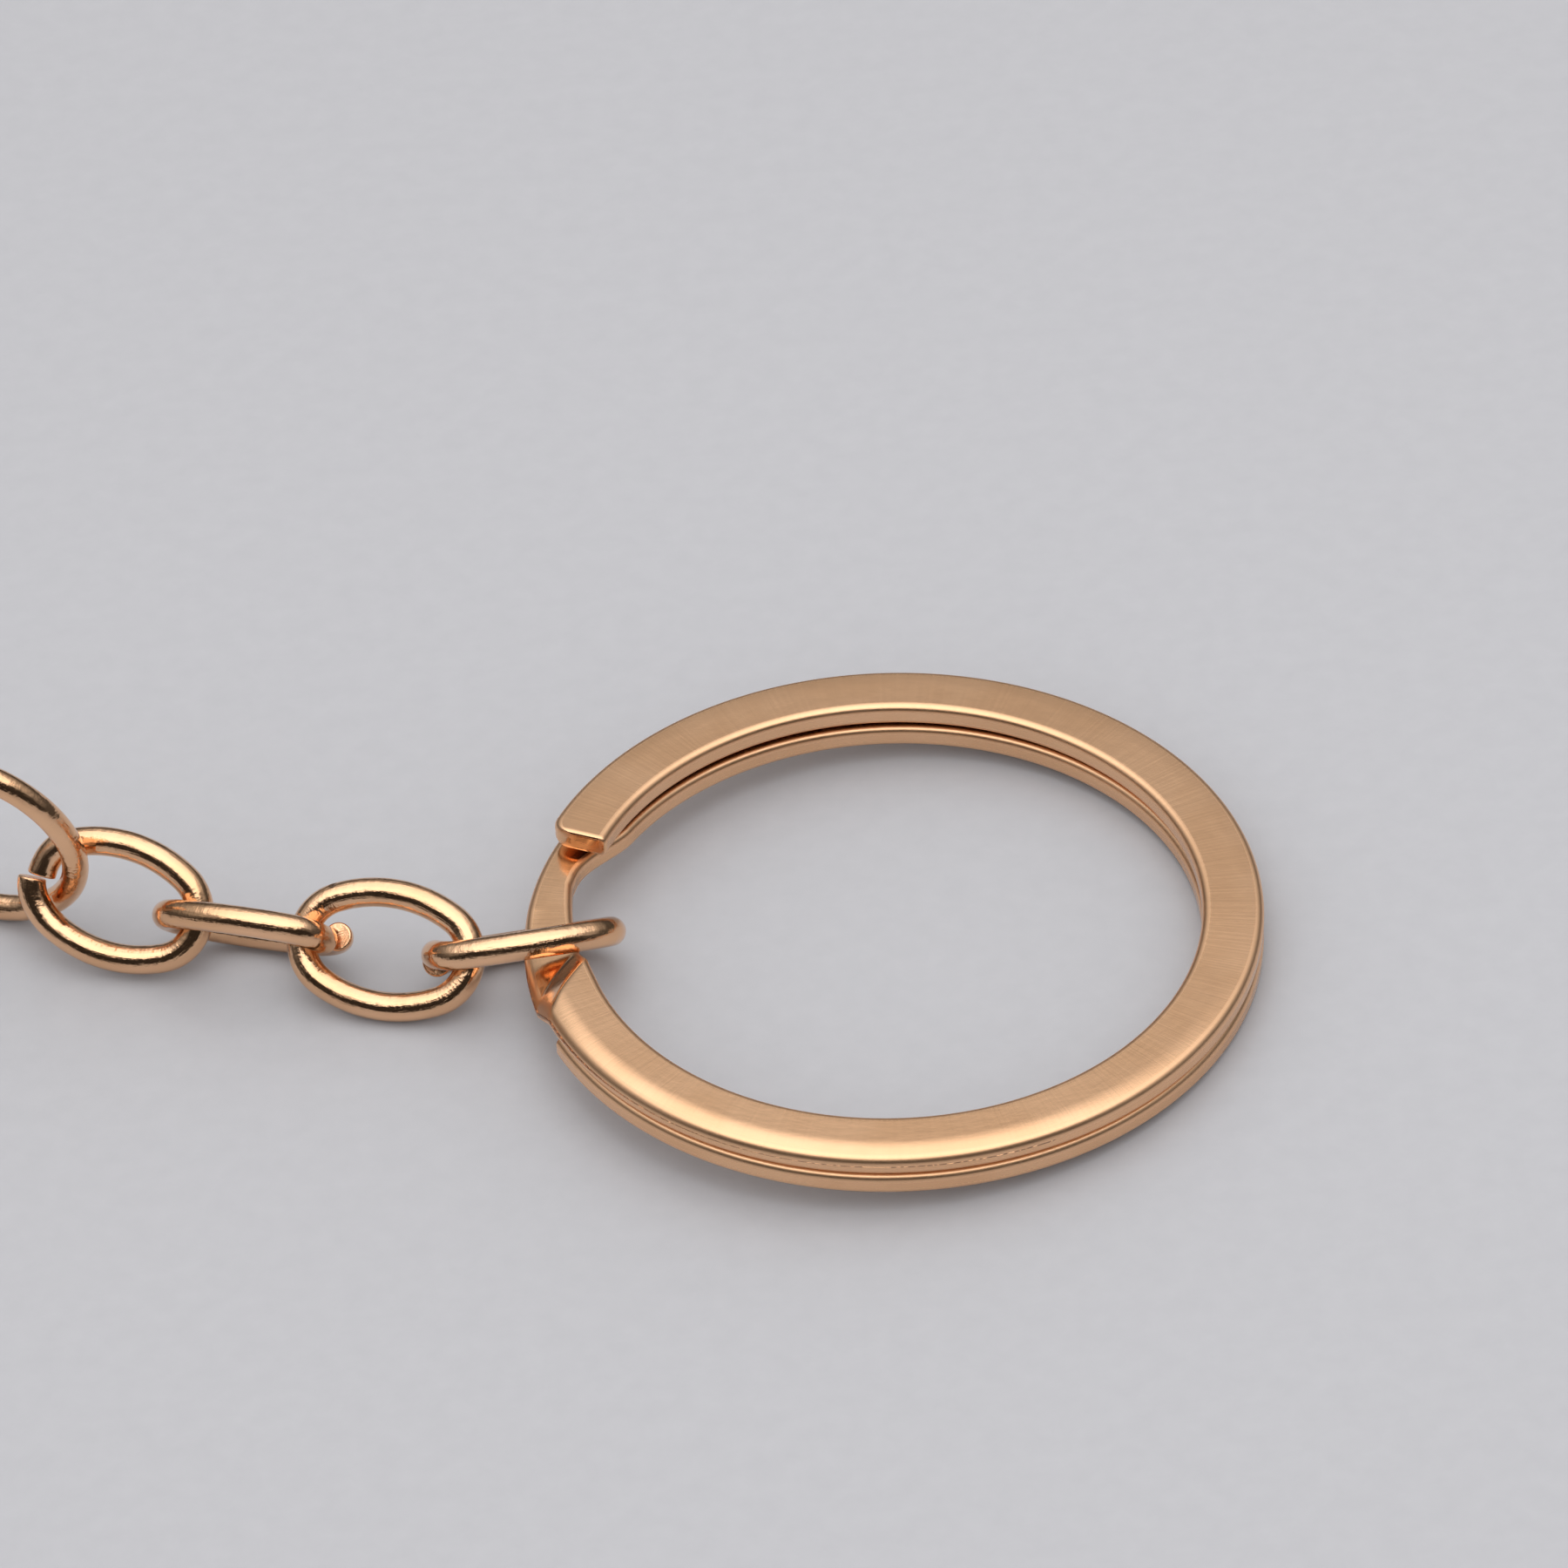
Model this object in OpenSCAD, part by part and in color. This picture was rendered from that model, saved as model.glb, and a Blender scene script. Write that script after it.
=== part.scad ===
// Split key ring with a short chain: a flat strip wound two turns, four oval wire links
// and a round end ring, lying on a table.
// The origin is on the table under the centre of the split ring, +Z is up and the chain
// runs towards -X.

/* [Split ring] */
// Outside diameter of the split ring
ring_od = 30; // [28:0.5:34]
// Inside diameter of the split ring
ring_id = 25; // [23:0.5:26]
// Thickness of the flat strip that is wound twice
strip_t = 0.96; // [0.8:0.02:1.2]
// Play between the two coils when they are closed
coil_play = 0.03; // [0.02:0.01:0.1]
// Radius of the strip's four rolled edges
edge_r = 0.25; // [0.15:0.05:0.35]

/* [Free end] */
// Direction of the upper coil's free end, seen from above
free_end_az = 158; // [154:0.5:160]
// Angle by which the free half of the upper coil stands open at rest
free_half_rise = 0.5; // [0.2:0.1:1]
// Radius of the free end's outer corner
free_end_corner_r = 0.8; // [0.5:0.1:1.2]

/* [Joggle] */
// How far the strip is cut back on its inside next to the free end
neck_depth = 0.95; // [0.4:0.05:1.2]
// Direction of the narrowest place of the neck
neck_az = 162; // [160:0.5:164]

/* [Chain] */
// Diameter of the links' wire
wire_d = 1.2; // [1:0.05:1.3]
// Outside length of a link
link_len = 8.4; // [8:0.1:9]
// Outside width of a link
link_w = 5.8; // [5.4:0.1:6.2]
// Radius of the middle of the wire round the end of a link
link_end_r = 1.9; // [1.7:0.1:2.1]
// Width of the closed seam in links 1 to 3
seam_w = 0.06; // [0.04:0.01:0.1]
// Width of the open seam in link 4
open_seam_w = 0.35; // [0.2:0.05:0.5]

/* [End ring] */
// Outside diameter of the end ring
end_ring_od = 10.4; // [10:0.1:11]
// Diameter of the end ring's wire
end_wire_d = 1.1; // [1:0.05:1.2]

/* [Hidden] */
$fn = 96;
rose_gold = [0.80, 0.56, 0.42];

ring_ro = ring_od / 2;
ring_ri = ring_id / 2;
strip_w = ring_ro - ring_ri;
coil_rise = strip_t + coil_play;

// The ring leans on link 1, whose wire passes under the joggle
ring_lean = 3.2;
lean_r = ring_ro - edge_r;

// Directions along the strip, in degrees, seen from above
joggle_start_az = 147;
joggle_end_az = 207;
lower_end_az = 203.5;
free_half_az = 336.5;
free_half_cut = 0.2;

// The step between the two levels runs on a diagonal from the inside to the outside
step_foot_in_az = 180.5;
step_foot_out_az = 195;
step_top_in_az = 191;
step_top_out_az = 201.5;

// The neck: from full width, to its narrowest place, and slowly back
neck_from_az = 147;
neck_flat = 3;
neck_to_az = 192;
joggle_step = 1.5;
corner_facets = 3;

// A link's middle line is four arcs: two ends and two sides that are tangent to them
link_a = (link_len - wire_d) / 2;
link_b = (link_w - wire_d) / 2;
end_c = link_a - link_end_r;
side_r = (end_c * end_c + link_b * link_b - link_end_r * link_end_r)
         / (2 * (link_b - link_end_r));
side_c = side_r - link_b;
join_angle = atan2(side_c, end_c);
join_x = end_c + link_end_r * cos(join_angle);
join_y = link_end_r * sin(join_angle);
// The arcs meet across a hairline gap that a plug fills, a hair below the wire's surface
join_gap = 0.02;
join_step = 0.02;
join_plug_len = 0.3;

// Each link lies on the table on its lower arm: [turn from -X, rise, roll] in degrees
link_pose = [[-6, 0, 40], [18.5, 3.2, 136], [20, -1.6, 49], [22, 10, 129]];
// Distance between the middles of the wires where a link hangs in the one before it
link_hang = [0, 1.45, 1.28, 1.25];
link_1_x = -14.95;
link_1_y = 0.4;
link_1_z = wire_d / 2 + link_b * sin(link_pose[0][2]);

end_ring_r = (end_ring_od - end_wire_d) / 2;
end_ring_turn = -20;
end_ring_nod = -11;
end_ring_x = -37.55;
end_ring_y = 6.7;
end_ring_z = end_wire_d / 2 + end_ring_r * cos(end_ring_nod);
end_ring_seam_az = 200;

function smooth(t) = let (c = max(0, min(1, t))) c * c * (3 - 2 * c);

// Unit vector along a link, away from the split ring
function link_dir(i) = let (p = link_pose[i])
    [-cos(p[1]) * cos(p[0]), cos(p[1]) * sin(p[0]), sin(p[1])];

// Middle of a link, found from the link before it
function link_mid(i) = i == 0
    ? [link_1_x, link_1_y, link_1_z]
    : link_tip(i - 1) + (link_a - link_hang[i]) * link_dir(i);

// Middle of the wire at the end of a link that is away from the split ring
function link_tip(i) = link_mid(i) + link_a * link_dir(i);

// How much of its width the strip has lost at a direction az
function neck(az) = az < neck_az
    ? neck_depth * smooth((az - neck_from_az) / (neck_az - neck_from_az))
    : neck_depth * pow(1 - max(0, min(1, (az - neck_az - neck_flat)
                                         / (neck_to_az - neck_az - neck_flat))), 1.5);

// Height of the strip's underside at a direction az, w = 0 on the inside and 1 outside
function step_rise(az, w) = let (
    foot = step_foot_in_az + (step_foot_out_az - step_foot_in_az) * w,
    top = step_top_in_az + (step_top_out_az - step_top_in_az) * w)
    coil_rise * smooth((az - foot) / (top - foot));

// One cross-section of the joggled strip: a rectangle with rounded edges
function joggle_section(az) = let (ri = ring_ri + neck(az)) [
    for (c = [[ring_ro - edge_r, strip_t - edge_r, 0], [ri + edge_r, strip_t - edge_r, 90],
              [ri + edge_r, edge_r, 180], [ring_ro - edge_r, edge_r, 270]])
    for (k = [0 : corner_facets])
    let (a = c[2] + 90 * k / corner_facets,
         r = c[0] + edge_r * cos(a),
         z = c[1] + edge_r * sin(a),
         w = max(0, min(1, (r - ring_ri) / strip_w)))
    [r * cos(az), r * sin(az), z + step_rise(az, w)]];

// Leans children of the split ring on link 1
module on_ring() {
    translate([lean_r, 0, 0])
    rotate([0, ring_lean, 0])
    translate([-lean_r, 0, 0])
    children();
}

// Cross-section of the strip, at its radius from the ring's axis
module strip_section() {
    translate([ring_ri + edge_r, 0])
        square([strip_w - 2 * edge_r, strip_t]);
    translate([ring_ri, edge_r])
        square([strip_w, strip_t - 2 * edge_r]);
    for (x = [ring_ri + edge_r, ring_ro - edge_r], z = [edge_r, strip_t - edge_r])
        translate([x, z])
            circle(r = edge_r);
}

// A stretch of coil from one direction to another, anticlockwise from above
module coil(from_az, to_az, z) {
    translate([0, 0, z])
    rotate([0, 0, from_az])
    rotate_extrude(angle = to_az - from_az)
        strip_section();
}

// Takes the outer corner of the free end away, to leave it round
module corner_cut() {
    rotate([0, 0, free_end_az])
    translate([ring_ro - free_end_corner_r, -free_end_corner_r, 0])
    linear_extrude(height = 6 * strip_t, center = true)
    difference() {
        square(2 * free_end_corner_r);
        circle(r = free_end_corner_r);
    }
}

// Opens the free half by turning it about the tangent at its root
module opened() {
    rotate([0, 0, free_half_az])
    translate([ring_ro, 0, coil_rise])
    rotate([0, free_half_rise, 0])
    translate([-ring_ro, 0, -coil_rise])
    rotate([0, 0, -free_half_az])
    children();
}

// An arc of wire about +Z, from one angle to another
module wire_arc(r, d, from, to) {
    rotate([0, 0, from])
    rotate_extrude(angle = to - from)
    translate([r, 0])
        circle(d = d, $fn = 48);
}

// A short round plug across a join between two arcs, a hair thinner than the wire
module join_plug(x, y, turn) {
    translate([x, y, 0])
    rotate([90, 0, turn])
        cylinder(d = wire_d - 2 * join_step, h = join_plug_len, center = true, $fn = 48);
}

// A link along X with its seam in the end that points to +X
module link_shape(seam) {
    half_seam = asin(seam / 2 / link_end_r);
    end_gap = asin(join_gap / 2 / link_end_r);
    side_gap = asin(join_gap / 2 / side_r);
    translate([end_c, 0, 0]) {
        wire_arc(link_end_r, wire_d, half_seam, join_angle - end_gap);
        wire_arc(link_end_r, wire_d, end_gap - join_angle, -half_seam);
    }
    translate([-end_c, 0, 0])
        wire_arc(link_end_r, wire_d, 180 - join_angle + end_gap, 180 + join_angle - end_gap);
    translate([0, -side_c, 0])
        wire_arc(side_r, wire_d, join_angle + side_gap, 180 - join_angle - side_gap);
    translate([0, side_c, 0])
        wire_arc(side_r, wire_d, 180 + join_angle + side_gap, 360 - join_angle - side_gap);
    for (x = [-1, 1], y = [-1, 1])
        join_plug(x * join_x, y * join_y, x * y * join_angle);
}

// Puts a link into its place; its +X end points away from the split ring
module link_place(i) {
    translate(link_mid(i))
    rotate([0, -link_pose[i][1], 180 - link_pose[i][0]])
    rotate([link_pose[i][2], 0, 0])
    children();
}

module lower_coil() {
    color(rose_gold)
    on_ring()
    coil(lower_end_az, 360 + joggle_start_az, 0);
}

module joggle() {
    azimuths = [for (az = [joggle_start_az : joggle_step : joggle_end_az]) az];
    sides = 4 * (corner_facets + 1);
    last = len(azimuths) - 1;
    walls = [for (i = [0 : last - 1], k = [0 : sides - 1])
             let (n = (k + 1) % sides)
             each [[i * sides + k, (i + 1) * sides + n, (i + 1) * sides + k],
                   [i * sides + k, i * sides + n, (i + 1) * sides + n]]];
    first_cap = [for (k = [0 : sides - 1]) sides - 1 - k];
    last_cap = [for (k = [0 : sides - 1]) last * sides + k];
    color(rose_gold)
    on_ring()
    polyhedron(points = [for (az = azimuths) each joggle_section(az)],
               faces = concat(walls, [first_cap], [last_cap]));
}

module upper_coil_fixed() {
    color(rose_gold)
    on_ring()
    coil(joggle_end_az, free_half_az, coil_rise);
}

module upper_coil_free() {
    color(rose_gold)
    on_ring()
    opened()
    difference() {
        coil(free_half_az + free_half_cut, 360 + free_end_az, coil_rise);
        corner_cut();
    }
}

module link_1() {
    color(rose_gold)
    link_place(0)
    link_shape(seam_w);
}

module link_2() {
    color(rose_gold)
    link_place(1)
    link_shape(seam_w);
}

// The seam of link 3 is at the end towards the split ring
module link_3() {
    color(rose_gold)
    link_place(2)
    rotate([0, 0, 180])
    link_shape(seam_w);
}

module link_4() {
    color(rose_gold)
    link_place(3)
    link_shape(open_seam_w);
}

module end_ring() {
    half_seam = asin(seam_w / 2 / end_ring_r);
    color(rose_gold)
    translate([end_ring_x, end_ring_y, end_ring_z])
    rotate([90 - end_ring_nod, 0, end_ring_turn])
    wire_arc(end_ring_r, end_wire_d, end_ring_seam_az + half_seam,
             360 + end_ring_seam_az - half_seam);
}

lower_coil();
joggle();
upper_coil_fixed();
upper_coil_free();
link_1();
link_2();
link_3();
link_4();
end_ring();
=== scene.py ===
"""Split key ring with a short chain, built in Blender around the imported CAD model."""
import math

import bpy
import numpy as np
from mathutils import Matrix, Vector


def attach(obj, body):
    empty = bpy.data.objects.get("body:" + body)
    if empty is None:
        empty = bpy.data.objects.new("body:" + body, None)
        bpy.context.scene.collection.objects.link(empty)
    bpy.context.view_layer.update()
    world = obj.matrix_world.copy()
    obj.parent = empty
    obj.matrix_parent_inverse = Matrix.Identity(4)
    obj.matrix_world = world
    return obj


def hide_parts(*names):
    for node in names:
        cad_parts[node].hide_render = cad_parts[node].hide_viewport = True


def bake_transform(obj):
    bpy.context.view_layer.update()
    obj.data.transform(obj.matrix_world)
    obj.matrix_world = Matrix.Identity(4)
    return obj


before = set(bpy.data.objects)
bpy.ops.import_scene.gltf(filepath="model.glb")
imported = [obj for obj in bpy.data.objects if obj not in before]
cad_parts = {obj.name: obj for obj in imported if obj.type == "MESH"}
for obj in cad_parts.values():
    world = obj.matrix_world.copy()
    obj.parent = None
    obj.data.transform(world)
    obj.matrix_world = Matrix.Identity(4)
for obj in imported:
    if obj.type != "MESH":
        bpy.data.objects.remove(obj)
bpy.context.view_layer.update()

MM = 0.001

# The split ring, in millimetres and degrees. Directions (AZ) run anticlockwise from +X. Sizes are as
# in the CAD model, but for the rounder edges and small changes to the step and the neck's end
RING_OUT = 15.0
RING_IN = 12.5
MID_R = (RING_IN + RING_OUT) / 2
STRIP_T = 0.96
COIL_RISE = 0.99
EDGE_R = 0.30
RING_LEAN = 3.2
LEAN_R = 14.75
LOWER_END_AZ = 203.5
# The free half of the upper coil, which stands open a little, and whose end has a round outer corner
FREE_HALF_AZ = 336.5
FREE_END_AZ = 158.0
FREE_HALF_RISE = 0.5
FREE_HALF_EASE = 20.0
FREE_CORNER_R = 0.8
# Where the step starts and ends, at the strip's inner and outer edge
STEP_FOOT = (181.5, 194.5)
STEP_TOP = (190.5, 201.8)
# The step's slope from its foot to its top, falling off in a small fillet at each
STEP_AT = (0.0, 0.10, 0.84, 1.0)
STEP_SLOPE = (0.0, 1.0, 1.0, 0.0)
# The neck, where the strip is narrower at its inner edge. After it, the edge comes back slowly
NECK_DEPTH = 0.95
NECK_FROM_AZ = 147.0
NECK_AZ = 162.0
NECK_FLAT = 3.0
NECK_TO_AZ = 196.0
NECK_EASE = 1.5
# The outer part of the top face falls away to the rim, by a drop that changes along the strip.
# Directions over 360 are in its second turn
CROWN_FROM_R = 13.95
CROWN_AZ = (0.0, 532.0, 546.0, 564.0, 580.0, 600.0, 650.0, 685.0, 697.0)
CROWN_DROP = (0.02, 0.02, 0.30, 0.32, 0.24, 0.17, 0.14, 0.05, 0.02)
# How far the strip's two cut ends are rounded off
CUT_BEVEL = 0.1
FREE_CUT_BEVEL = 0.16

# How finely the strip is divided: points across each side and corner, and degrees between sections
TOP_POINTS = 22
UNDERSIDE_POINTS = 8
WALL_POINTS = 4
EDGE_POINTS = 7
RING_SECTION = 0.36
FREE_SECTION = 0.4

# The links and the end ring, in millimetres and degrees, as in the CAD model. Half sizes are to the
# middle of the wire
WIRE_R = 0.6
LINK_A = 3.6
LINK_B = 2.3
LINK_END_R = 1.9
# For each link: its turn from -X, its lift, its roll about its own length, and its overlap with the
# link before it
LINK_POSE = ((-6.0, 0.0, 40.0), (18.5, 3.2, 136.0), (20.0, -1.6, 49.0), (22.0, 10.0, 129.0))
LINK_HANG = (0.0, 1.45, 1.28, 1.25)
LINK_1_XY = (-14.95, 0.4)
# For each link: the gap between its cut ends, how far they stand off its plane, how far one lies
# beyond the other, and whether the seam is at the end nearer the split ring
LINK_SEAM = ((0.06, 0.16, 0.0, False), (0.06, 0.05, 0.0, False),
             (0.06, 0.12, -0.22, True), (0.03, 0.12, 0.14, False))
OFF_PLANE_REACH = 2.2
SLIP_REACH = 1.8
END_RING_R = 4.65
END_WIRE_R = 0.55
END_RING_TURN = -20.0
END_RING_NOD = -11.0
END_RING_XY = (-37.55, 6.7)
END_RING_SEAM_AZ = 200.0
END_RING_GAP = 0.06
END_RING_OFF_PLANE = 0.03
END_RING_REACH = 3.0
WIRE_BEVEL = 0.09
WIRE_POINTS = 36
WIRE_SECTION = 0.11

# The room. SKY is its brightness by elevation, as a share of 90 degrees
SKY = ((0.0, 0.05), (0.17, 0.09), (0.30, 0.26), (0.40, 0.42), (0.45, 0.50), (0.49, 0.72),
       (0.54, 1.05), (0.62, 1.50), (1.0, 1.70))
DARK_SIDE = (0.028, 0.026, 0.024)
FRONT_GLOW = (1.9, 1.85, 1.8)
EVEN_LIGHT = (1.32, 1.31, 1.32)
FLOOR_HALF_SIDE = 12.0

# The camera: its place in millimetres, its right and up directions, and its lens
CAMERA_PLACE = (7.122, -231.388, 202.547)
CAMERA_RIGHT = (0.99558, -0.02826, -0.08957)
CAMERA_UP = (0.08684, 0.64022, 0.76328)
CAMERA_LENS = 173.49
CAMERA_SENSOR = 36.0


def turn_x(deg):
    return np.array(Matrix.Rotation(math.radians(deg), 3, "X"))


def turn_y(deg):
    return np.array(Matrix.Rotation(math.radians(deg), 3, "Y"))


def turn_z(deg):
    return np.array(Matrix.Rotation(math.radians(deg), 3, "Z"))


def smooth(t):
    c = np.clip(t, 0, 1)
    return c * c * (3 - 2 * c)


# ---------------------------------------------------------------- meshes

def skin(name, rings, along, around, wear, material):
    """A closed tube through rings of points, flat at its two ends. rings is (stations, points, 3) in
    millimetres, and along, around and wear give each point's place on the surface and how worn it is."""
    stations, points = rings.shape[:2]
    i = np.arange(stations - 1)[:, None] * points
    k = np.arange(points)[None, :]
    n = (k + 1) % points
    walls = np.stack([i + k, i + points + k, i + points + n, i + n], axis=-1).reshape(-1, 4)
    caps = [list(range(points)), [(stations - 1) * points + j for j in reversed(range(points))]]
    mesh = bpy.data.meshes.new(name)
    mesh.from_pydata((rings.reshape(-1, 3) * MM).tolist(), [], walls.tolist() + caps)
    smooth_flags = [True] * len(walls) + [False, False]
    mesh.polygons.foreach_set("use_smooth", smooth_flags)

    # The seam of the lengthwise map is closed by giving the last strip of faces one more step
    step = float(around[-1] - around[-2])
    ends = np.append(around, around[-1] + step)
    u = np.broadcast_to(along[:-1, None], (stations - 1, points))
    u_next = np.broadcast_to(along[1:, None], (stations - 1, points))
    v = np.broadcast_to(ends[None, :-1], (stations - 1, points))
    v_next = np.broadcast_to(ends[None, 1:], (stations - 1, points))
    corners = np.stack([u, v, u_next, v, u_next, v_next, u, v_next], axis=-1).reshape(-1, 2)
    first = np.stack([np.full(points, along[0]), around], axis=-1)
    last = np.stack([np.full(points, along[-1]), around], axis=-1)[::-1]
    layer = mesh.uv_layers.new(name="lengthwise")
    layer.data.foreach_set("uv", np.concatenate([corners, first, last]).ravel())

    rims = set()
    for cap in caps:
        rims.update(frozenset((cap[j - 1], cap[j])) for j in range(points))
    sharp = [frozenset(edge.vertices) in rims for edge in mesh.edges]
    mesh.attributes.new("sharp_edge", "BOOLEAN", "EDGE").data.foreach_set("value", sharp)
    attribute = mesh.attributes.new("wear", "FLOAT", "POINT")
    attribute.data.foreach_set("value", np.ascontiguousarray(wear, np.float32).ravel())
    mesh.materials.append(material)
    mesh.validate()
    mesh.update()
    obj = bpy.data.objects.new(name, mesh)
    bpy.context.scene.collection.objects.link(obj)
    return obj


def strip_profile(r_in, r_out, inset, drop):
    """Cross-section of the strip, anticlockwise: radius, height, wear and distance round it."""
    edge = EDGE_R
    arc = np.linspace(0, 90, EDGE_POINTS)
    pts = []

    def corner(r, z, start):
        for a in np.radians(start + arc):
            pts.append((r + (edge - inset) * math.cos(a), z + (edge - inset) * math.sin(a), 1.0))

    def flat(r_from, z_from, r_to, z_to, count):
        for t in np.linspace(0, 1, count + 2)[1:-1]:
            pts.append((r_from + (r_to - r_from) * t, z_from + (z_to - z_from) * t, 0.0))

    corner(r_out - edge, STRIP_T - edge, 0)
    flat(r_out - edge, STRIP_T - inset, r_in + edge, STRIP_T - inset, TOP_POINTS)
    corner(r_in + edge, STRIP_T - edge, 90)
    flat(r_in + inset, STRIP_T - edge, r_in + inset, edge, WALL_POINTS)
    corner(r_in + edge, edge, 180)
    flat(r_in + edge, inset, r_out - edge, inset, UNDERSIDE_POINTS)
    corner(r_out - edge, edge, 270)
    flat(r_out - inset, edge, r_out - inset, STRIP_T - edge, WALL_POINTS)
    table = np.array(pts)
    r, z = table[:, 0], table[:, 1]
    crown = np.clip((r - CROWN_FROM_R) / (RING_OUT - CROWN_FROM_R), 0, 1) ** 2
    z = z - drop * crown * smooth((z - STRIP_T / 2) / (STRIP_T / 2 - edge))
    gaps = np.hypot(np.diff(r), np.diff(z))
    return r, z, table[:, 2], np.concatenate([[0], np.cumsum(gaps)])


def neck(az):
    """How far the strip's inner edge stands outward of its usual place."""
    before = smooth((az - NECK_FROM_AZ) / (NECK_AZ - NECK_FROM_AZ))
    after = 1 - np.clip((az - NECK_AZ - NECK_FLAT) / (NECK_TO_AZ - NECK_AZ - NECK_FLAT), 0, 1)
    return NECK_DEPTH * np.where(az < NECK_AZ, before, after ** NECK_EASE)


def ramp(t):
    """The rise from 0 to 1 along the step."""
    fine = np.linspace(0, 1, 401)
    height = np.cumsum(np.interp(fine, STEP_AT, STEP_SLOPE))
    return np.interp(t, fine, (height - height[0]) / (height[-1] - height[0]))


def step_rise(az, w):
    """Height of the strip over the lower coil. w is 0 at its inner edge and 1 at its outer edge."""
    foot = STEP_FOOT[0] + (STEP_FOOT[1] - STEP_FOOT[0]) * w
    top = STEP_TOP[0] + (STEP_TOP[1] - STEP_TOP[0]) * w
    return COIL_RISE * ramp((az - foot) / (top - foot))


def on_ring(points):
    """Leans points of the split ring on link 1."""
    shift = np.array([LEAN_R, 0, 0])
    return (points - shift) @ turn_y(RING_LEAN).T + shift


def hinge_up(rings, azimuths):
    """Opens the free half about the tangent at its root, easing in over its first stretch."""
    root = np.array([RING_OUT, 0, COIL_RISE])
    local = rings @ turn_z(-FREE_HALF_AZ).T - root
    ease = smooth((azimuths - FREE_HALF_AZ) / FREE_HALF_EASE)
    turned = local @ turn_y(FREE_HALF_RISE).T
    return (local + (turned - local) * ease[:, None, None] + root) @ turn_z(FREE_HALF_AZ).T


def strip_rings(azimuths, insets, r_outs, free):
    """Sections of the strip at each direction, standing in planes through the ring's axis. The free
    half is plain, and the rest has the neck, the step and the sloped top."""
    rings, wears = [], []
    for az, inset, r_out in zip(azimuths, insets, r_outs):
        second_turn = az > 360 and not free
        r_in = RING_IN + (neck(az - 360) if second_turn else 0.0)
        drop = CROWN_DROP[0] if free else np.interp(az, CROWN_AZ, CROWN_DROP)
        r, z, wear, around = strip_profile(float(r_in), r_out, inset, float(drop))
        if free:
            z = z + COIL_RISE
        elif second_turn:
            w = np.clip((r - RING_IN) / (RING_OUT - RING_IN), 0, 1)
            z = z + step_rise(az - 360, w)
        a = math.radians(az)
        rings.append(np.stack([r * math.cos(a), r * math.sin(a), z], axis=-1))
        wears.append(wear)
    return np.array(rings), around, np.array(wears)


def bevelled(start, end, step, bevel_start, bevel_end, bevel):
    """Directions from start to end in degrees, and how far each section is drawn in. They lie close
    together where an end is rounded off."""
    t = np.radians(np.linspace(0, 90, 6))
    sweep = np.degrees(bevel / MID_R) * (1 - np.cos(t))
    inset = bevel * (1 - np.sin(t))
    first = bevel_start * sweep[-1]
    last = bevel_end * sweep[-1]
    count = int(round((end - start) / step))
    middle = np.linspace(start + first, end - last, count)
    azimuths = [start + sweep[:-1]] if bevel_start else []
    insets = [inset[:-1]] if bevel_start else []
    azimuths.append(middle)
    insets.append(np.zeros(count))
    if bevel_end:
        azimuths.append((end - sweep[:-1])[::-1])
        insets.append(inset[:-1][::-1])
    return np.concatenate(azimuths), np.concatenate(insets)


def split_ring(material):
    """The strip from its lower end, once round, up over the step and half round again."""
    azimuths, insets = bevelled(LOWER_END_AZ, 360 + FREE_HALF_AZ, RING_SECTION, True, False, CUT_BEVEL)
    rings, around, wear = strip_rings(azimuths, insets, np.full(len(azimuths), RING_OUT), False)
    along = np.radians(azimuths) * MID_R
    obj = skin("split_ring", on_ring(rings), along, around, wear, material)
    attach(obj, "strip")
    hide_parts("lower_coil", "joggle", "upper_coil_fixed")


def free_half(material):
    """The free half of the upper coil, which bends up from its root."""
    end_az = 360 + FREE_END_AZ
    azimuths, insets = bevelled(FREE_HALF_AZ, end_az, FREE_SECTION, False, True, FREE_CUT_BEVEL)
    left = np.radians(end_az - azimuths) * (RING_OUT - FREE_CORNER_R / 2)
    c = np.clip(FREE_CORNER_R - left, 0, FREE_CORNER_R)
    r_outs = RING_OUT - FREE_CORNER_R + np.sqrt(FREE_CORNER_R ** 2 - c ** 2)
    rings, around, wear = strip_rings(azimuths, insets, r_outs, True)
    along = np.radians(azimuths + 360) * MID_R
    obj = skin("free_half", on_ring(hinge_up(rings, azimuths)), along, around, wear, material)
    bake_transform(obj)
    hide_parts("upper_coil_free")


def arc_points(centre, radius, start, end):
    """Points along an arc, and the outward direction at each."""
    count = max(3, int(abs(math.radians(end - start)) * radius / WIRE_SECTION))
    a = np.radians(np.linspace(start, end, count, endpoint=False))
    out = np.stack([np.cos(a), np.sin(a)], axis=-1)
    return np.array(centre) + radius * out, out


def link_line(gap):
    """The middle line of a link's wire, from one side of the seam in its +X end to the other."""
    end_c = LINK_A - LINK_END_R
    side_r = (end_c ** 2 + LINK_B ** 2 - LINK_END_R ** 2) / (2 * (LINK_B - LINK_END_R))
    side_c = side_r - LINK_B
    join = math.degrees(math.atan2(side_c, end_c))
    half = math.degrees(math.asin(gap / 2 / LINK_END_R))
    parts = [
        arc_points((end_c, 0), LINK_END_R, half, join),
        arc_points((0, -side_c), side_r, join, 180 - join),
        arc_points((-end_c, 0), LINK_END_R, 180 - join, 180 + join),
        arc_points((0, side_c), side_r, 180 + join, 360 - join),
        arc_points((end_c, 0), LINK_END_R, -join, -half),
    ]
    line = np.concatenate([p for p, _ in parts])
    out = np.concatenate([o for _, o in parts])
    return line, out


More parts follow.
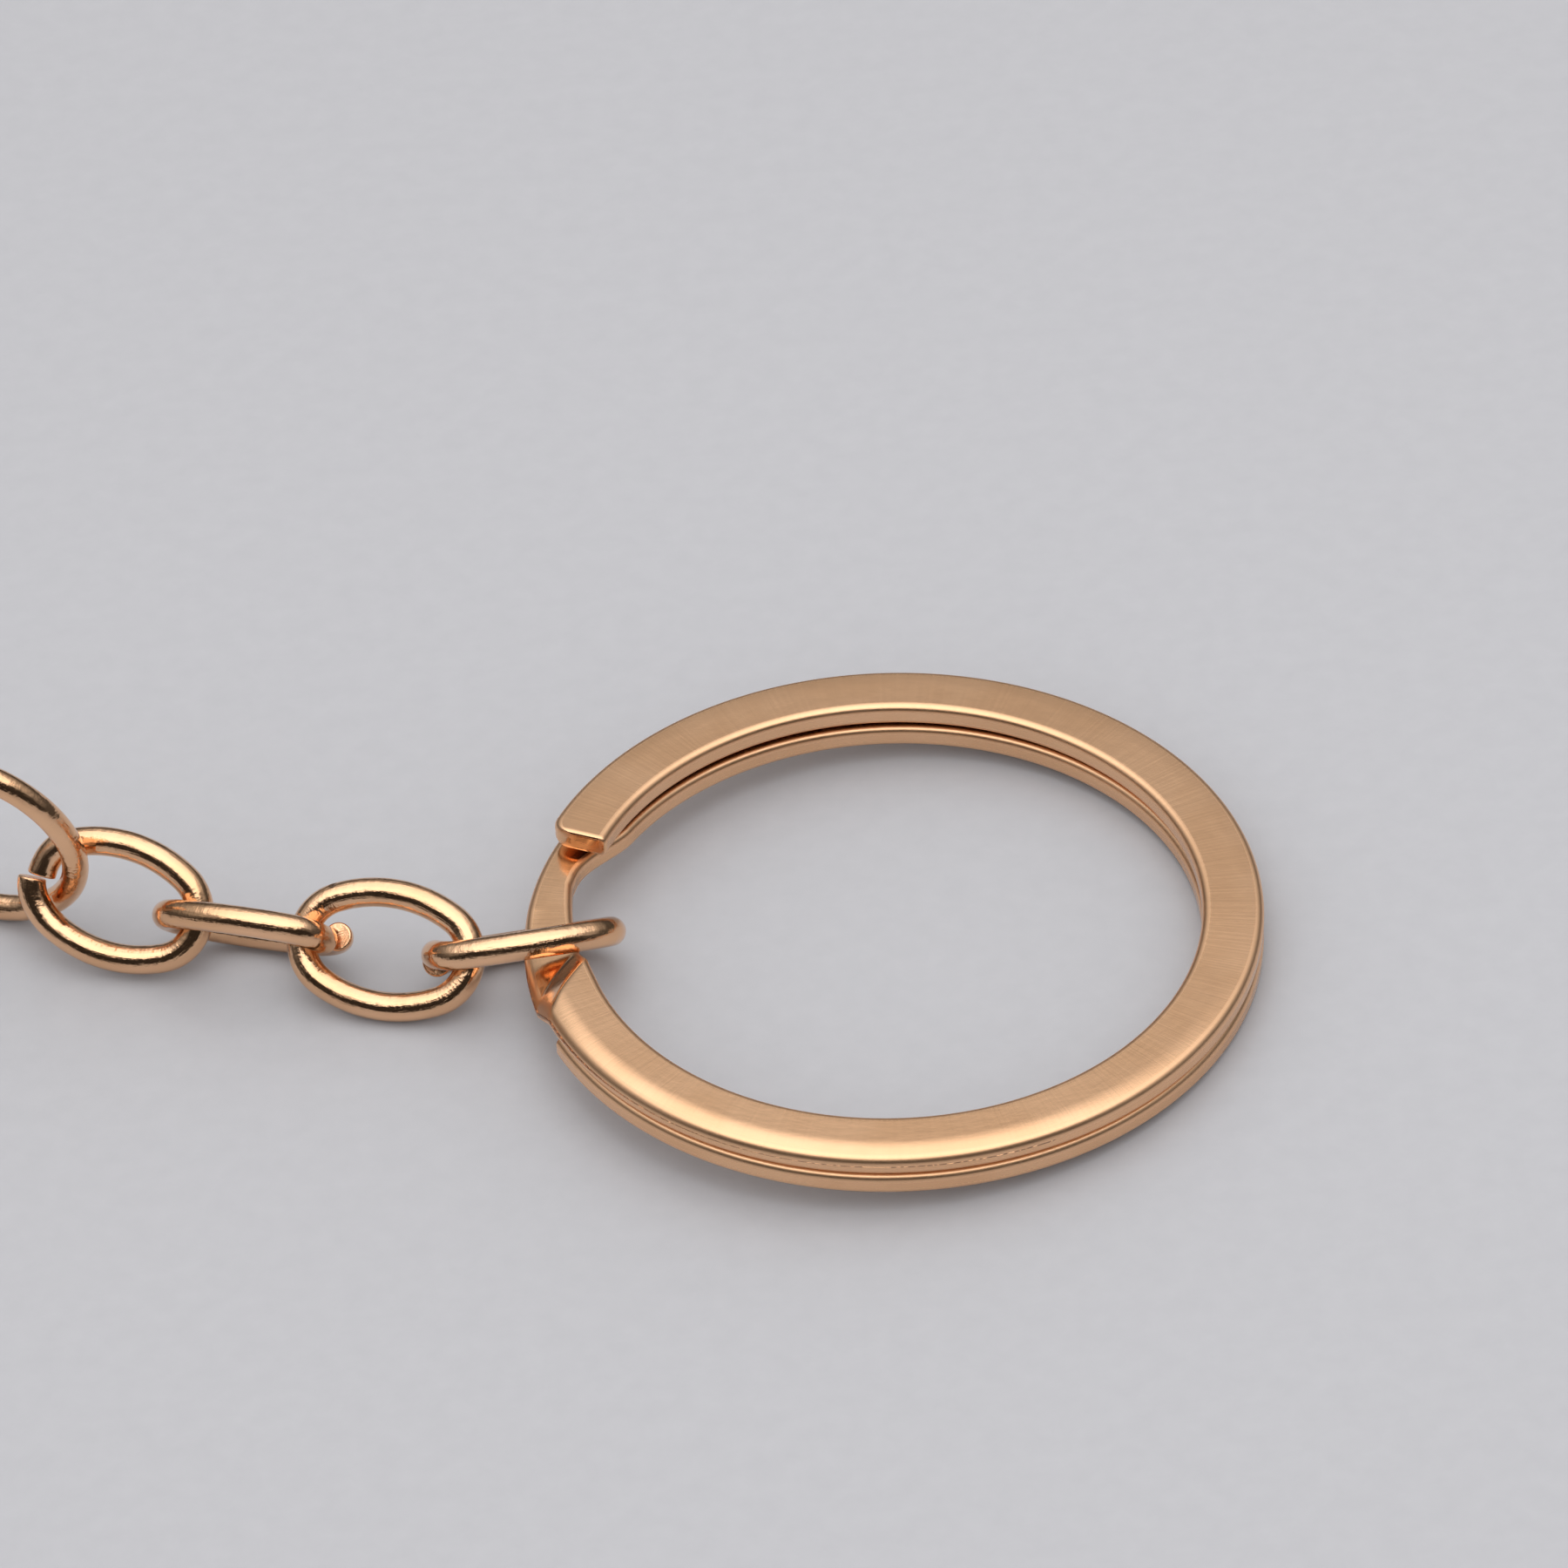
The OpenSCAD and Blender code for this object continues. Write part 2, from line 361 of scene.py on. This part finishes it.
def wire_rings(line, out, rise, radius):
    """Round sections along a flat line, with rounded cut ends. rise lifts the line off its plane."""
    steps = np.hypot(*np.diff(line, axis=0).T)
    along = np.concatenate([[0], np.cumsum(steps)])
    t = np.radians(np.linspace(0, 90, 6))
    back = WIRE_BEVEL * (1 - np.cos(t))
    small = WIRE_BEVEL * (1 - np.sin(t))
    clear = WIRE_BEVEL * 1.3
    keep = (along > clear) & (along < along[-1] - clear)
    at = np.concatenate([back, along[keep], (along[-1] - back)[::-1]])
    inset = np.concatenate([small, np.zeros(keep.sum()), small[::-1]])
    x = np.interp(at, along, line[:, 0])
    y = np.interp(at, along, line[:, 1])
    ox = np.interp(at, along, out[:, 0])
    oy = np.interp(at, along, out[:, 1])
    h = np.interp(at, along, rise)
    a = np.linspace(0, 2 * math.pi, WIRE_POINTS, endpoint=False)
    r = (radius - inset)[:, None]
    rings = np.stack([x[:, None] + ox[:, None] * r * np.cos(a),
                      y[:, None] + oy[:, None] * r * np.cos(a),
                      h[:, None] + r * np.sin(a)], axis=-1)
    wear = np.zeros((len(at), WIRE_POINTS))
    wear[inset > 0] = 1.0
    return rings, at, a * radius, wear


def link_frames():
    """Middle and turning of each link, found from the link before it."""
    frames = []
    tip = None
    for (turn, lift, roll), hang in zip(LINK_POSE, LINK_HANG):
        axes = turn_z(180 - turn) @ turn_y(-lift) @ turn_x(roll)
        if tip is None:
            middle = np.array([*LINK_1_XY, WIRE_R + LINK_B * math.sin(math.radians(roll))])
        else:
            middle = tip + (LINK_A - hang) * axes[:, 0]
        tip = middle + LINK_A * axes[:, 0]
        frames.append((middle, axes))
    return frames


def seam_offset(line, amount, reach):
    """An offset along the wire that parts its two cut ends to either side, and fades out over reach."""
    steps = np.hypot(*np.diff(line, axis=0).T)
    along = np.concatenate([[0], np.cumsum(steps)])
    return amount * (smooth(1 - along / reach) - smooth(1 - (along[-1] - along) / reach))


def link(number, material):
    """One oval link of round wire, closed by bending, with its two cut ends not quite in line."""
    gap, off_plane, slip, nearer = LINK_SEAM[number - 1]
    line, out = link_line(gap)
    rise = seam_offset(line, off_plane, OFF_PLANE_REACH)
    line[:, 0] -= seam_offset(line, slip, SLIP_REACH)
    rings, along, around, wear = wire_rings(line, out, rise, WIRE_R)
    middle, axes = link_frames()[number - 1]
    if nearer:
        axes = axes @ turn_z(180)
    name = f"link_{number}_wire"
    obj = skin(name, rings @ axes.T + middle, along, around, wear, material)
    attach(obj, f"link_{number}")
    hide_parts(f"link_{number}")


def end_ring(material):
    """The round ring at the end of the chain, with a closed seam."""
    half = math.degrees(math.asin(END_RING_GAP / 2 / END_RING_R))
    line, out = arc_points((0, 0), END_RING_R, END_RING_SEAM_AZ + half,
                           END_RING_SEAM_AZ + 360 - half)
    rise = seam_offset(line, END_RING_OFF_PLANE, END_RING_REACH)
    rings, along, around, wear = wire_rings(line, out, rise, END_WIRE_R)
    axes = turn_z(END_RING_TURN) @ turn_x(90 - END_RING_NOD)
    height = END_WIRE_R + END_RING_R * math.cos(math.radians(END_RING_NOD))
    middle = np.array([*END_RING_XY, height])
    obj = skin("end_ring_wire", rings @ axes.T + middle, along, around, wear, material)
    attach(obj, "end_ring")
    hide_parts("end_ring")


# ---------------------------------------------------------------- materials

class Nodes:
    """A small helper that adds nodes to a tree and joins them."""

    def __init__(self, tree):
        self.tree = tree
        tree.nodes.clear()

    def add(self, kind, **values):
        node = self.tree.nodes.new(kind)
        for key, value in values.items():
            if key.startswith("in_"):
                slot = key[3:]
                place = int(slot) if slot.isdigit() else slot.replace("_", " ")
                socket = node.inputs[place]
                if isinstance(value, bpy.types.NodeSocket):
                    self.tree.links.new(value, socket)
                else:
                    socket.default_value = value
            else:
                setattr(node, key, value)
        return node

    def math(self, operation, a, b=0.0):
        """One step of arithmetic."""
        return self.add("ShaderNodeMath", operation=operation, in_0=a, in_1=b).outputs[0]

    def spread(self, value, low, high, to_low, to_high, smooth_step=True):
        """Maps low to high onto to_low to to_high, and holds still outside them."""
        kind = "SMOOTHSTEP" if smooth_step else "LINEAR"
        node = self.add("ShaderNodeMapRange", interpolation_type=kind, in_Value=value,
                        in_From_Min=low, in_From_Max=high, in_To_Min=to_low, in_To_Max=to_high)
        return node.outputs["Result"]

    def mix(self, factor, a, b):
        """A blend of two colours."""
        node = self.add("ShaderNodeMix", data_type="RGBA")
        for socket, value in ((node.inputs[0], factor), (node.inputs[6], a), (node.inputs[7], b)):
            if isinstance(value, bpy.types.NodeSocket):
                self.tree.links.new(value, socket)
            else:
                socket.default_value = value
        return node.outputs[2]


def stretched(nodes, source, scale_u, scale_v):
    """Surface coordinates scaled along and around the metal."""
    return nodes.add("ShaderNodeMapping", in_Vector=source, in_Scale=(scale_u, scale_v, 1.0)).outputs[0]


def noise(nodes, source, scale, detail, rough):
    node = nodes.add("ShaderNodeTexNoise", in_Vector=source, in_Scale=scale, in_Detail=detail,
                     in_Roughness=rough)
    return node.outputs["Fac"]


def rose_gold(name, body, deep, streak, ripple, rough, rough_worn, bump, depth):
    """Rose-gold plate: fine drawing marks, a slight cloudiness, pits and worn edges. streak and ripple
    are repeats per millimetre along and around the metal. rough is its range, rough_worn is added at
    the worn edges, and depth is the height of the marks in metres."""
    material = bpy.data.materials.new(name)
    material.use_nodes = True
    nodes = Nodes(material.node_tree)
    surface = nodes.add("ShaderNodeUVMap", uv_map="lengthwise").outputs["UV"]
    solid = nodes.add("ShaderNodeTexCoord").outputs["Object"]
    worn = nodes.add("ShaderNodeAttribute", attribute_name="wear").outputs["Fac"]

    streaks = noise(nodes, stretched(nodes, surface, *streak), 1.0, 4.0, 0.6)
    ripples = noise(nodes, stretched(nodes, surface, *ripple), 1.0, 3.0, 0.5)
    cloud = noise(nodes, solid, 260.0, 3.0, 0.5)
    grain = noise(nodes, solid, 9000.0, 2.0, 0.5)
    pits = nodes.add("ShaderNodeTexVoronoi", in_Vector=solid, in_Scale=420.0).outputs["Distance"]
    chosen = noise(nodes, solid, 330.0, 0.0, 0.5)
    pit = nodes.math("MULTIPLY", nodes.spread(pits, 0.03, 0.09, 1.0, 0.0),
                     nodes.spread(chosen, 0.60, 0.64, 0.0, 1.0))
    scuffs = nodes.spread(noise(nodes, stretched(nodes, surface, 0.9, 2.6), 1.0, 6.0, 0.75),
                          0.60, 0.72, 0.0, 1.0)

    tint = nodes.spread(cloud, 0.35, 0.65, 0.0, 1.0)
    colour = nodes.mix(tint, (*body, 1), (*deep, 1))
    bright = tuple(c * 1.06 for c in body)
    colour = nodes.mix(nodes.math("MULTIPLY", worn, 0.5), colour, (*bright, 1))
    colour = nodes.mix(nodes.math("MULTIPLY", pit, 0.8), colour, (0.10, 0.05, 0.03, 1))

    roughness = nodes.spread(streaks, 0.3, 0.7, *rough, False)
    roughness = nodes.math("ADD", roughness, nodes.math("MULTIPLY", scuffs, 0.07))
    roughness = nodes.math("ADD", roughness, nodes.math("MULTIPLY", worn, rough_worn))
    roughness = nodes.math("ADD", roughness, nodes.math("MULTIPLY", pit, 0.3))

    height = nodes.math("ADD", streaks, nodes.math("MULTIPLY", ripples, 1.3))
    height = nodes.math("ADD", height, nodes.math("MULTIPLY", grain, 0.2))
    height = nodes.math("SUBTRACT", height, nodes.math("MULTIPLY", pit, 2.0))
    bumped = nodes.add("ShaderNodeBump", in_Height=height, in_Strength=bump, in_Distance=depth)
    shader = nodes.add("ShaderNodeBsdfPrincipled", in_Base_Color=colour, in_Metallic=1.0,
                       in_Roughness=roughness, in_Normal=bumped.outputs[0])
    nodes.add("ShaderNodeOutputMaterial", in_Surface=shader.outputs[0])
    return material


def floor_material():
    """A pale, slightly mottled tabletop with a fine grain."""
    material = bpy.data.materials.new("pale_table")
    material.use_nodes = True
    nodes = Nodes(material.node_tree)
    solid = nodes.add("ShaderNodeTexCoord").outputs["Object"]
    mottle = nodes.spread(noise(nodes, solid, 900.0, 4.0, 0.6), 0.3, 0.7, 0.0, 1.0, False)
    colour = nodes.mix(mottle, (0.362, 0.362, 0.378, 1), (0.378, 0.378, 0.394, 1))
    grain = noise(nodes, solid, 4000.0, 3.0, 0.6)
    bumped = nodes.add("ShaderNodeBump", in_Height=grain, in_Strength=0.15, in_Distance=0.00002)
    shader = nodes.add("ShaderNodeBsdfPrincipled", in_Base_Color=colour, in_Roughness=0.42,
                       in_Normal=bumped.outputs[0])
    nodes.add("ShaderNodeOutputMaterial", in_Surface=shader.outputs[0])
    return material


# ---------------------------------------------------------------- the stage

def floor():
    """A plain tabletop, much larger than any view of it."""
    side = FLOOR_HALF_SIDE
    mesh = bpy.data.meshes.new("table")
    corners = [(-side, -side, 0), (side, -side, 0), (side, side, 0), (-side, side, 0)]
    mesh.from_pydata(corners, [], [(0, 1, 2, 3)])
    mesh.materials.append(floor_material())
    obj = bpy.data.objects.new("table", mesh)
    bpy.context.scene.collection.objects.link(obj)


def room():
    """A bright ceiling with a dark low side at the front, for the metal to reflect, and an even light
    on everything matt."""
    world = bpy.data.worlds.new("studio")
    bpy.context.scene.world = world
    world.use_nodes = True
    nodes = Nodes(world.node_tree)
    direction = nodes.add("ShaderNodeTexCoord").outputs["Generated"]
    axis = nodes.add("ShaderNodeSeparateXYZ", in_Vector=direction)
    elevation = nodes.math("DEGREES", nodes.math("ARCSINE", axis.outputs["Z"]))
    sky = nodes.add("ShaderNodeValToRGB", in_Fac=nodes.math("DIVIDE", elevation, 90.0))
    elements = sky.color_ramp.elements
    while len(elements) < len(SKY):
        elements.new(0.5)
    for element, (place, value) in zip(elements, SKY):
        element.position = place
        element.color = (value, value, value, 1)

    # facing is 1 towards the front (-Y) and -1 towards the back, at any elevation
    flat = nodes.math("SQRT", nodes.math("SUBTRACT", 1.0, nodes.math("POWER", axis.outputs["Z"], 2.0)))
    facing = nodes.math("DIVIDE", nodes.math("MULTIPLY", axis.outputs["Y"], -1.0),
                        nodes.math("ADD", flat, 0.0001))
    low = nodes.spread(elevation, 40.0, 50.0, 1.0, 0.0)
    ahead = nodes.spread(facing, 0.25, 0.70, 0.0, 1.0)
    light = nodes.mix(nodes.math("MULTIPLY", ahead, low), sky.outputs["Color"], (*DARK_SIDE, 1))
    above = nodes.spread(elevation, 42.0, 54.0, 0.0, 1.0)
    front = nodes.spread(facing, -0.15, 0.35, 0.0, 1.0)
    light = nodes.mix(nodes.math("MULTIPLY", front, above), light, (*FRONT_GLOW, 1))
    even = nodes.add("ShaderNodeLightPath").outputs["Is Diffuse Ray"]
    light = nodes.mix(even, light, (*EVEN_LIGHT, 1))
    background = nodes.add("ShaderNodeBackground", in_Color=light, in_Strength=1.0)
    nodes.add("ShaderNodeOutputWorld", in_Surface=background.outputs[0])


def area_light(name, place, target, size, power):
    """A round soft light that casts shadows but isn't seen in the metal."""
    data = bpy.data.lights.new(name, "AREA")
    data.shape = "DISK"
    data.size = size
    data.energy = power
    obj = bpy.data.objects.new(name, data)
    obj.location = place
    aim = Vector(target) - Vector(place)
    obj.rotation_euler = aim.to_track_quat("-Z", "Y").to_euler()
    obj.visible_glossy = False
    bpy.context.scene.collection.objects.link(obj)


def camera():
    """A long lens, 31 cm away, looking down at the ring from the front."""
    data = bpy.data.cameras.new("camera")
    data.sensor_fit = "HORIZONTAL"
    data.sensor_width = CAMERA_SENSOR
    data.lens = CAMERA_LENS
    data.clip_start = 0.01
    data.clip_end = 50.0
    obj = bpy.data.objects.new("camera", data)
    right = Vector(CAMERA_RIGHT)
    up = Vector(CAMERA_UP)
    back = right.cross(up)
    turning = Matrix((right, up, back)).transposed().to_4x4()
    obj.matrix_world = Matrix.Translation(Vector(CAMERA_PLACE) * MM) @ turning
    bpy.context.scene.collection.objects.link(obj)
    bpy.context.scene.camera = obj


def build():
    """Makes both materials and every piece of the object."""
    strip = rose_gold("rose_gold_strip", body=(0.93, 0.57, 0.335), deep=(0.87, 0.52, 0.295),
                      streak=(7.0, 0.3), ripple=(1.1, 3.0), rough=(0.12, 0.20), rough_worn=0.18,
                      bump=0.30, depth=1.0e-5)
    wire = rose_gold("rose_gold_wire", body=(0.93, 0.57, 0.34), deep=(0.84, 0.50, 0.28),
                     streak=(0.6, 5.0), ripple=(3.0, 1.5), rough=(0.09, 0.17), rough_worn=0.12,
                     bump=1.0, depth=2.0e-5)
    split_ring(strip)
    free_half(strip)
    for number in range(1, 1 + len(LINK_POSE)):
        link(number, wire)
    end_ring(wire)


build()
floor()
room()
area_light("key", place=(0.01, 0.02, 0.22), target=(0, 0, 0), size=0.20, power=0.12)
camera()
bpy.context.scene.view_settings.view_transform = "Standard"
